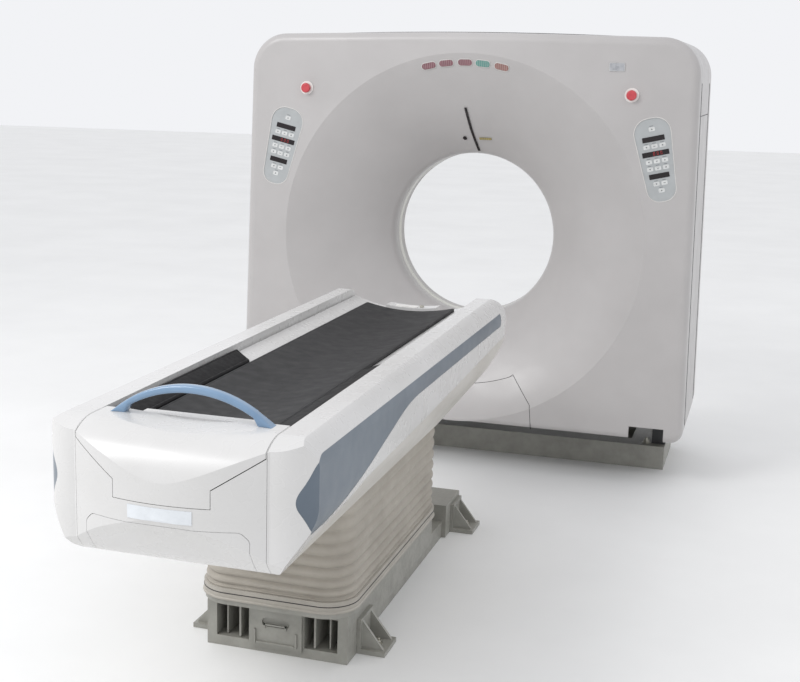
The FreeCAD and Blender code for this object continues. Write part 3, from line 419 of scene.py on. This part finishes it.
marks, lit = ([], []), ([], [])
KEY_ROWS, KEY_PITCH = [(122, 1), (55, 3), (-4, 3), (-32, 3), (-92, 2), (-120, 1)], 31
SHAPES = [[(-3.6, -2.4), (3.6, -2.4), (0, 3.4)], [(-3.6, 2.4), (0, -3.4), (3.6, 2.4)],
          [(-4, -1.1), (4, -1.1), (4, 1.1), (-4, 1.1)]]
ZERO_BARS = [(0, 6, 5, 0), (2.6, 3, 0, 5), (2.6, -3, 0, 5), (0, -6, 5, 0), (-2.6, -3, 0, 5), (-2.6, 3, 0, 5)]
for side in (1, -1):
    count_done = 0
    for v, count in KEY_ROWS:
        for i in range(count):
            u = (i - (count - 1) / 2) * KEY_PITCH
            shape = SHAPES[count_done % 3]
            count_done += 1
            corners = [on_pod(u + du, v + dv, side) for du, dv in shape]
            plate(corners, PANEL_Y - 3.74, PANEL_Y - 3.9, *marks)
            dash = ((-7, -0.9), (7, -0.9), (7, 0.9), (-7, 0.9))
            label = [on_pod(u + du, v + 12.5 + dv, side) for du, dv in dash]
            plate(label, PANEL_Y - 2.52, PANEL_Y - 2.65, *marks)
    for digit in range(3):
        u0 = (digit - 1) * 14 + 8
        for cu, cv, w, h in ZERO_BARS:
            w, h = max(w, 1.2), max(h, 1.2)
            corners = [on_pod(u0 + cu + du * w / 2, 26 + cv + dv * h / 2, side)
                       for du, dv in ((-1, -1), (1, -1), (1, 1), (-1, 1))]
            plate(corners, PANEL_Y - 3.62, PANEL_Y - 3.8, *lit)
key_marks = new_piece("key_marks", *marks, INK, smooth=False)
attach(key_marks, "gantry")
digits = new_piece("display_segments", *lit, SEGMENTS, smooth=False)
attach(digits, "gantry")


def rounded(corners, steps=8):
    """Corner list of (u, v, radius) as a polyline with round corners."""
    line = []
    for i, (u, v, r) in enumerate(corners):
        here = Vector((u, v))
        a = (Vector(corners[i - 1][:2]) - here).normalized()
        b = (Vector(corners[(i + 1) % len(corners)][:2]) - here).normalized()
        half = a.angle(b) / 2
        centre = here + (a + b).normalized() * (r / math.sin(half))
        first = here + a * (r / math.tan(half)) - centre
        turn = (here + b * (r / math.tan(half)) - centre).angle_signed(first)
        for k in range(steps + 1):
            t = turn * k / steps
            line.append((centre.x + first.x * math.cos(t) - first.y * math.sin(t),
                         centre.y + first.x * math.sin(t) + first.y * math.cos(t)))
    return line


EGG = rounded([(-54, -165, 50), (54, -165, 50), (76, 165, 60), (-76, 165, 60)])
rims = [[(x, FACE_Y + 0.6, z) for x, z in (on_pod(u, v, side) for u, v in EGG)] for side in (1, -1)]
bead("control_panel_rims", rims, 2.2, RIM_AND_HIGHLIGHT, "gantry", closed=True)


# ================================================================ buttons, lamps and windows
# Two red stop buttons on white collars, five signal lamps in the flare, the laser window and an amber lens.
# Lamps and windows are flush mouldings in the flare; the buttons run on springs through their collars.

# acetal collars: clean white with a slight sheen
ACETAL = finish("white_acetal", "#ECEAE7", "#E3E1DD", 20, 1, 0.02, (0.28, 0.40), ior=1.48)
coat_nodes(ACETAL, "stop_collars")
# moulded nylon buttons: pinkish red, satin, worn a little paler
RED_NYLON = finish("red_moulded_nylon", "#C9484F", "#B83A43", 12, 0.8, 0.02, (0.24, 0.38), ior=1.53,
                   coat=0.2)
coat_nodes(RED_NYLON, "stop_button_right", "stop_button_left")


def lamp_glass(name, light, dark):
    """Moulded polycarbonate lens: glossy, with prism ribs 4 mm apart behind the face, drawn as pale pink
    stripes that paint their sheen.
    """
    mat = finish(name, light, dark, 16, 1.5, 0.004, (0.10, 0.18), ior=1.585, coat=0.5)
    shader = mat.node_tree.nodes["Principled BSDF"]
    place = add(mat, "ShaderNodeTexCoord").outputs["Object"]
    ribs = add(mat, "ShaderNodeTexWave", {"Vector": place}, {"Scale": 1000 / 4 / 20 * 3.14159},
               bands_direction="X")
    plain = shader.inputs["Base Color"].links[0].from_socket
    # the ribs turn the lens up to 22% towards pale pink: a painted sheen
    soft = add(mat, "ShaderNodeMapRange", {"Value": ribs.outputs["Fac"]}, {"To Max": 0.22})
    ribs_with_sheen = add(mat, "ShaderNodeMixRGB", {"Fac": soft.outputs["Result"], "Color1": plain})
    ribs_with_sheen.inputs["Color2"].default_value = to_linear("#E9DDDA")
    mat.node_tree.links.new(ribs_with_sheen.outputs["Color"], shader.inputs["Base Color"])
    return mat


coat_nodes(lamp_glass("maroon_polycarbonate", "#7E4552", "#6C3844"), "lamp_standby")
coat_nodes(lamp_glass("teal_polycarbonate", "#4E8F86", "#41827A"), "lamp_ready")
coat_nodes(lamp_glass("brown_polycarbonate", "#8C5B53", "#7B4E47"), "lamp_exposure")
coat_nodes(lamp_glass("olive_amber_polycarbonate", "#9A8D3E", "#877A33"), "amber_lens")
capsule = [(17 + 13.5 * math.sin(math.pi * k / 12), 13.5 * math.cos(math.pi * k / 12)) for k in range(13)]
capsule += [(-u, -v) for u, v in capsule]
# pale rings round the lamps: bezels whose colour also paints the highlight on the edge of each recess
bezel_highlights = []
LAMP_ARC_R = 727
for angle in (-12, -6.2, 0, 5.8, 12):
    a, loop = math.radians(angle), []
    for u, v in capsule:
        x = u * math.cos(a) + (LAMP_ARC_R + v) * math.sin(a)
        z = ISO_Z - u * math.sin(a) + (LAMP_ARC_R + v) * math.cos(a)
        loop.append((x, face_y(x, z) - 0.6, z))
    bezel_highlights.append(loop)
bead("lamp_bezels_and_highlights", bezel_highlights, 1.9, RIM_AND_HIGHLIGHT, "gantry", closed=True)
# blank anodised plate: fine brushing along X, about 1.2 mm between scratches
BRUSHED = finish("brushed_anodised_aluminium", "#C4C5C8", "#A9ABAF", 15, 1.2, 0.012, (0.26, 0.38),
                 metallic=1.0, stretch=(0.06, 1, 1))
coat_nodes(BRUSHED, "badge_plate")
plate_edge = rounded([(582, 1668.5, 4), (642, 1668.5, 4), (642, 1699.5, 4), (582, 1699.5, 4)])
badge_rim = bead("badge_plate_edge", [[(x, FACE_Y - 2.2, z) for x, z in plate_edge]], 0.9, RIM_AND_HIGHLIGHT, "gantry",
                 closed=True)


# ================================================================ base of the table
# A low welded frame with two lifting pockets in front, brackets on the floor, and a moulded collar on top.
# The collar is the same beige as the bellows and clamps its lower edge on the frame's deck.

# moulded polyurethane: beige, matt, with a leathery grain of about 2 mm
COLLAR_PLASTIC = finish("moulded_polyurethane_collar", "#ADA89F", "#A09B92", 90, 2, 0.05, (0.45, 0.58),
                        ior=1.5)
dusted(COLLAR_PLASTIC, "#CFCBC3", 0.5)
coat_nodes(COLLAR_PLASTIC, "bellows_collar")
BEL_X, BEL_FOOT, BEL_HEAD, BEL_R = 228, -2465, -1465, 90


def loop_points(grow, per_side=26):
    """Rounded outline of the bellows in plan, evenly spread, drawn out by grow."""
    x, foot, head, r = BEL_X + grow, BEL_FOOT - grow, BEL_HEAD + grow, BEL_R + grow
    line = rounded([(-x, foot, r), (x, foot, r), (x, head, r), (-x, head, r)], 12)
    dense = []
    for (x0, y0), (x1, y1) in zip(line, line[1:] + line[:1]):
        parts = per_side if math.hypot(x1 - x0, y1 - y0) > 150 else 1
        dense += [(x0 + (x1 - x0) * k / parts, y0 + (y1 - y0) * k / parts) for k in range(parts)]
    return dense


# a steel band clamps the bellows on the collar, and a lip runs round the collar's lower edge; the groove above
# the lip is a thin black bead, a painted shadow
lip = bead("collar_lip", [[(x, y, 169) for x, y in loop_points(5.5)]], 4.5, COLLAR_PLASTIC, "base",
           closed=True)
groove = bead("collar_groove_shadow", [[(x, y, 186) for x, y in loop_points(5.7)]], 1.6, SHADOW_LINE, "base", closed=True)

# recessed latch plate with its catch in the middle of the front block, and ribs in the lifting pockets
verts, faces = [], []
PLATE_Y = -2423.2
frame_bars = [(-58, 58, 30, 36, -2428, PLATE_Y), (-34, 34, 88, 92, -2429, PLATE_Y)]
for near, far, z0, z1, y0, y1 in ((60, 66, 30, 72, -2428, PLATE_Y), (30, 34, 78, 92, -2429, PLATE_Y),
                                  (112, 118, 32, 128, -2408, -2300), (156, 160, 32, 128, -2398, -2300)):
    frame_bars += [(-far, -near, z0, z1, y0, y1), (near, far, z0, z1, y0, y1)]
for x0, x1, z0, z1, y0, y1 in frame_bars:
    plate([(x0, z0), (x1, z0), (x1, z1), (x0, z1)], y0, y1, verts, faces)
details = new_piece("front_block_details", verts, faces, FRAME_ENAMEL, smooth=False)
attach(details, "base")


# ================================================================ bellows
# A moulded silicone-coated skirt round the lift column, clamped to the collar below and to the shell above.
# Its own weight closes the lower folds, so they are narrower and deeper than the upper ones.

# silicone-coated polyester: beige and matt, its weave of 1.5 mm drawn coarse enough to show
SKIRT = finish("silicone_coated_polyester", "#B0AAA0", "#A29C92", 140, 1.5, 0.04, (0.52, 0.66), ior=1.43)
shader = SKIRT.node_tree.nodes["Principled BSDF"]
place = add(SKIRT, "ShaderNodeTexCoord").outputs["Object"]
warp = add(SKIRT, "ShaderNodeTexWave", {"Vector": place},
           {"Scale": 1000 / 1.5 / 20 * 3.14159, "Distortion": 0.6}, bands_direction="Z")
grained = shader.inputs["Normal"].links[0].from_socket
weave = add(SKIRT, "ShaderNodeBump", {"Height": warp.outputs["Fac"], "Normal": grained},
            {"Strength": 0.5, "Distance": 0.00008})
SKIRT.node_tree.links.new(weave.outputs["Normal"], shader.inputs["Normal"])
FOLDS, SKIRT_LOW, SKIRT_HIGH, LIFT_Y = 9, 200.6, 504.4, -1965
rows = []
for k in range(FOLDS * 12 + 1):
    t = k / (FOLDS * 12)
    phase = FOLDS * t ** 0.82
    crest = abs(math.cos(math.pi * phase)) ** 0.55
    depth = 14 * (1 - 0.45 * t)
    rows.append((SKIRT_LOW + (SKIRT_HIGH - SKIRT_LOW) * t, -depth * (1 - crest)))
outer_rows = [[(x, y, z) for x, y in loop_points(g - 0.4)] for z, g in rows]
inner_rows = [[(x, y, z) for x, y in loop_points(g - 3.0)] for z, g in reversed(rows)]
verts, faces = [], []
around = len(outer_rows[0])
for ring in outer_rows + inner_rows:
    for x, y, z in ring:
        sway = 1.1 * noise.noise(Vector((x / 160, y / 160, z / 45)))
        away = Vector((x, (y - LIFT_Y) * 0.45)).normalized()
        verts.append(at(x + min(0, sway) * away.x, y + min(0, sway) * away.y, z))
total = len(outer_rows) * 2
for r in range(total):
    for i in range(around):
        n, s2 = (i + 1) % around, (r + 1) % total
        faces.append((r * around + i, r * around + n, s2 * around + n, s2 * around + i))
skirt = new_piece("bellows_skirt", verts, faces, SKIRT)
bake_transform(skirt)
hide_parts("bellows")


# ================================================================ body of the table
# Moulded ABS side rails, lower shell and foot cover on a cast chassis, sprayed in glossy warm white.
# Blue-grey inlays are bonded into the rails; the shadow gaps between the mouldings are meant to be seen.

# sprayed ABS: glossy warm white, nearly even, orange peel about 5 mm across
TABLE_PAINT = finish("sprayed_abs_gloss", "#D8D7D6", "#D1D0CE", 380, 5, 0.006, (0.24, 0.32), ior=1.52,
                     coat=0.15)
coat_nodes(TABLE_PAINT, "chassis", "side_rail_right", "side_rail_left", "foot_cover", "foot_lower_panel",
           "nose_housing", "nose_ledge")
# bare moulded ABS of the lower shell: creamier and duller, with a spark-eroded grain of about 1 mm
SHELL_ABS = finish("moulded_abs_shell", "#CDCAC4", "#C3BFB8", 260, 1, 0.03, (0.34, 0.46), ior=1.52)
coat_nodes(SHELL_ABS, "lower_shell")
# painted inlay: blue-grey, satin, with a very fine grain
INLAY = finish("blue_grey_inlay_paint", "#65717D", "#5B6672", 300, 0.9, 0.004, (0.28, 0.36), ior=1.5, coat=0.1)
coat_nodes(INLAY, "side_inlay_right", "side_inlay_left")
# blank polyester label: cool white and matt
LABEL = finish("blank_polyester_label", "#E2E6EA", "#D8DCE0", 40, 0.8, 0.01, (0.35, 0.45), ior=1.6)
coat_nodes(LABEL, "foot_plate")


# ================================================================ cradle
# A curved carbon-fibre shell carries a thin vinyl mattress and two loose edge pads; it slides into the bore.
# The nose housing, ledge and handle close its foot end, and a headrest socket its head end.

# lacquered carbon-fibre shell, painted warm white like the rails
coat_nodes(TABLE_PAINT, "cradle_shell", "headrest_socket")
# vinyl-coated foam: charcoal, matt, leather grain of 2.5 mm, coarser than the real 1 mm so that it shows
MAT_VINYL = finish("embossed_vinyl_mat", "#2F2F30", "#29292A", 220, 2.5, 0.10, (0.50, 0.62), ior=1.33)
shader = MAT_VINYL.node_tree.nodes["Principled BSDF"]
place = add(MAT_VINYL, "ShaderNodeTexCoord").outputs["Object"]
cells = add(MAT_VINYL, "ShaderNodeTexVoronoi", {"Vector": place}, {"Scale": 1000 / 2.5},
            feature="DISTANCE_TO_EDGE")
grained = shader.inputs["Normal"].links[0].from_socket
creases = add(MAT_VINYL, "ShaderNodeBump", {"Height": cells.outputs["Distance"], "Normal": grained},
              {"Strength": 0.6, "Distance": 0.0003})
MAT_VINYL.node_tree.links.new(creases.outputs["Normal"], shader.inputs["Normal"])
# closed-cell foam with a black vinyl skin: nearly black, a touch glossier
PAD_VINYL = finish("black_vinyl_pad", "#0B0A0C", "#08070A", 90, 2, 0.06, (0.42, 0.54), ior=1.22)
CRADLE_R, MAT_LOW, RIM_W = 650, 786, 12.6


def cradle_z(x, drop=0.0):
    """Height of the curved cradle surface, or of one drop below it."""
    return MAT_LOW + CRADLE_R - math.sqrt((CRADLE_R + drop) ** 2 - x * x)


def spaced(length, edge_lines, pitch):
    """Grid lines over a length: close together at both ends and evenly spread between."""
    inner = length - 2 * edge_lines[-1]
    count = max(2, int(inner / pitch))
    return (list(edge_lines[:-1]) + [edge_lines[-1] + inner * k / count for k in range(count + 1)]
            + [length - e for e in reversed(edge_lines[:-1])])


def curved_pad(name, x0, x1, foot_y, head_y, thick, edge_r, corner_r, mat):
    """Pad that lies on the curved cradle: rounded rim, a welded seam 9 mm in, and slight unevenness."""
    lines = (0, 0.3, 1.0, 2.2, 4.0, 6.5, 8.0, 9.0, 10.0, 12.5)   # close lines where the rim curves
    us = spaced(x1 - x0, lines, 14)
    tops, bottoms = [], []
    vs = spaced(1000, lines, 14)
    for v in vs:
        row_top, row_bottom = [], []
        for u in us:
            x = x0 + u
            length = head_y(x) - foot_y
            d_end = min(v, 1000 - v)
            if d_end >= RIM_W:
                d_end = RIM_W + (d_end - RIM_W) * (length / 2 - RIM_W) / (500 - RIM_W)
            y = foot_y + d_end if v <= 500 else head_y(x) - d_end
            pull = 1.0
            if d_end < corner_r:
                half = (x1 - x0) / 2
                pull = 1 - (corner_r - math.sqrt(corner_r ** 2 - (corner_r - d_end) ** 2)) / half
            x = (x0 + x1) / 2 + (x - (x0 + x1) / 2) * pull
            e = min(min(u, x1 - x0 - u) * pull, d_end)
            fall = edge_r - math.sqrt(max(0, edge_r ** 2 - (edge_r - min(e, edge_r)) ** 2))
            seam = 0.9 * math.exp(-((e - 9) / 1.1) ** 2)
            soft = 0.5 * noise.noise(Vector((x / 90, y / 120, 3.0))) * min(1, e / 30)
            row_top.append(at(x, y, cradle_z(x) + thick[0] - fall - seam + soft - 0.3))
            row_bottom.append(at(x, y, cradle_z(x, thick[1]) + 0.2))
        tops.append(row_top)
        bottoms.append(row_bottom)
    verts = [p for row in tops for p in row] + [p for row in bottoms for p in row]
    w, h = len(us), len(vs)
    shift = w * h
    faces = []
    for j in range(h - 1):
        for i in range(w - 1):
            a, b, c, d = j * w + i, j * w + i + 1, (j + 1) * w + i + 1, (j + 1) * w + i
            faces += [(a, b, c, d), (shift + d, shift + c, shift + b, shift + a)]
    rim = list(range(w)) + [j * w + w - 1 for j in range(1, h)]
    rim += [(h - 1) * w + i for i in reversed(range(w - 1))] + [j * w for j in reversed(range(1, h - 1))]
    for a, b in zip(rim, rim[1:] + rim[:1]):
        faces.append((b, a, shift + a, shift + b))
    piece = new_piece(name, verts, faces, mat)
    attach(piece, "cradle")
    return piece


NOSE_Y, MAT_HEAD, PAD_HEAD = -2958, -1070, -2165
mat_piece = curved_pad("vinyl_mattress", -168, 168, NOSE_Y + 4, lambda x: MAT_HEAD, (0, 12), 5, 10, MAT_VINYL)
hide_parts("mattress")
for side, label in ((1, "right"), (-1, "left")):
    inner, outer = sorted((side * 170, side * 233))
    pad = curved_pad(f"edge_pad_{label}", inner, outer, NOSE_Y + 4,
                     lambda x: PAD_HEAD - 45 * (233 - abs(x)) / 63, (2, 12), 5, 6, PAD_VINYL)
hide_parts("edge_pads")
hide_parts("edge_pads")

# handle: one arched bar of glossy steel-blue polyurethane with flared feet, screwed down from below
HANDLE_BLUE = finish("glossy_polyurethane_handle", "#7E9BB8", "#728FAD", 120, 1, 0.008, (0.14, 0.24), ior=1.5,
                     coat=0.5)
HANDLE_Y, HALF_SPAN = NOSE_Y - 24, 225
TOP_ARC_R, TOP_ARC_Z, TOP_ARC_X = 304.8, 613.2, 208     # outer arc, and where it runs out into the feet
LOW_ARC_R, LOW_ARC_Z, LOW_ARC_X = 316, 582, 174         # inner arc
verts, faces = [], []
RING, STATIONS = 28, 96
for s in range(STATIONS + 1):
    x = HALF_SPAN * math.sin(math.pi / 2 * (2 * s / STATIONS - 1))
    ax = abs(x)
    top = TOP_ARC_Z + math.sqrt(TOP_ARC_R ** 2 - min(ax, TOP_ARC_X) ** 2) - max(0, ax - TOP_ARC_X) * 0.62
    under = LOW_ARC_Z + math.sqrt(LOW_ARC_R ** 2 - min(ax, LOW_ARC_X) ** 2)
    blend = min(1, max(0, (ax - 160) / 14))
    blend = blend * blend * (3 - 2 * blend)
    seat = min(838, 826 + 16 * (ax / 238) ** 2)
    under = under * (1 - blend) + (seat - 1) * blend
    half_y = 14.5 + 2.0 * min(1, max(0, (ax - 152) / 50))
    tip = min(1, math.sqrt(max(0, (HALF_SPAN - ax) / 14)))
    mid, half_z = (top + under) / 2, max(0.6, (top - under) / 2)
    for k in range(RING):
        a = 2 * math.pi * k / RING
        c, d = math.cos(a), math.sin(a)
        power = 0.62
        verts.append(at(x, HANDLE_Y + half_y * max(0.12, tip) * math.copysign(abs(c) ** power, c),
                        mid + half_z * math.copysign(abs(d) ** power, d)))
for s in range(STATIONS):
    for k in range(RING):
        n = (k + 1) % RING
        faces.append((s * RING + k, (s + 1) * RING + k, (s + 1) * RING + n, s * RING + n))
faces.append(tuple(range(RING)))
faces.append(tuple(STATIONS * RING + k for k in reversed(range(RING))))
handle = new_piece("arched_handle", verts, faces, HANDLE_BLUE)
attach(handle, "cradle")
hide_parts("push_handle")

# headrest catch: a turned steel knob with a white lever on the socket
verts, faces = [], []
knob_profile = [(3, 0), (7.5, 0), (8.5, 1), (8.5, 5), (6.5, 7), (2, 7.6)]
turned(knob_profile, (34, -1034, cradle_z(34) + 8), (0, 0, 1), 32, verts, faces)
knob = new_piece("headrest_catch", verts, faces, ZINC)
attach(knob, "cradle")
lever = rounded([(-62, -1052, 9), (20, -1052, 9), (20, -1016, 14), (-62, -1022, 9)])
verts = [at(x, y, cradle_z(x) + lift) for lift in (7.6, 10.6) for x, y in lever]
n = len(lever)
faces = [tuple(reversed(range(n))), tuple(range(n, 2 * n))]
faces += [(k, (k + 1) % n, n + (k + 1) % n, n + k) for k in range(n)]
lever_piece = new_piece("headrest_lever", verts, faces, ACETAL, smooth=False)
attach(lever_piece, "cradle")
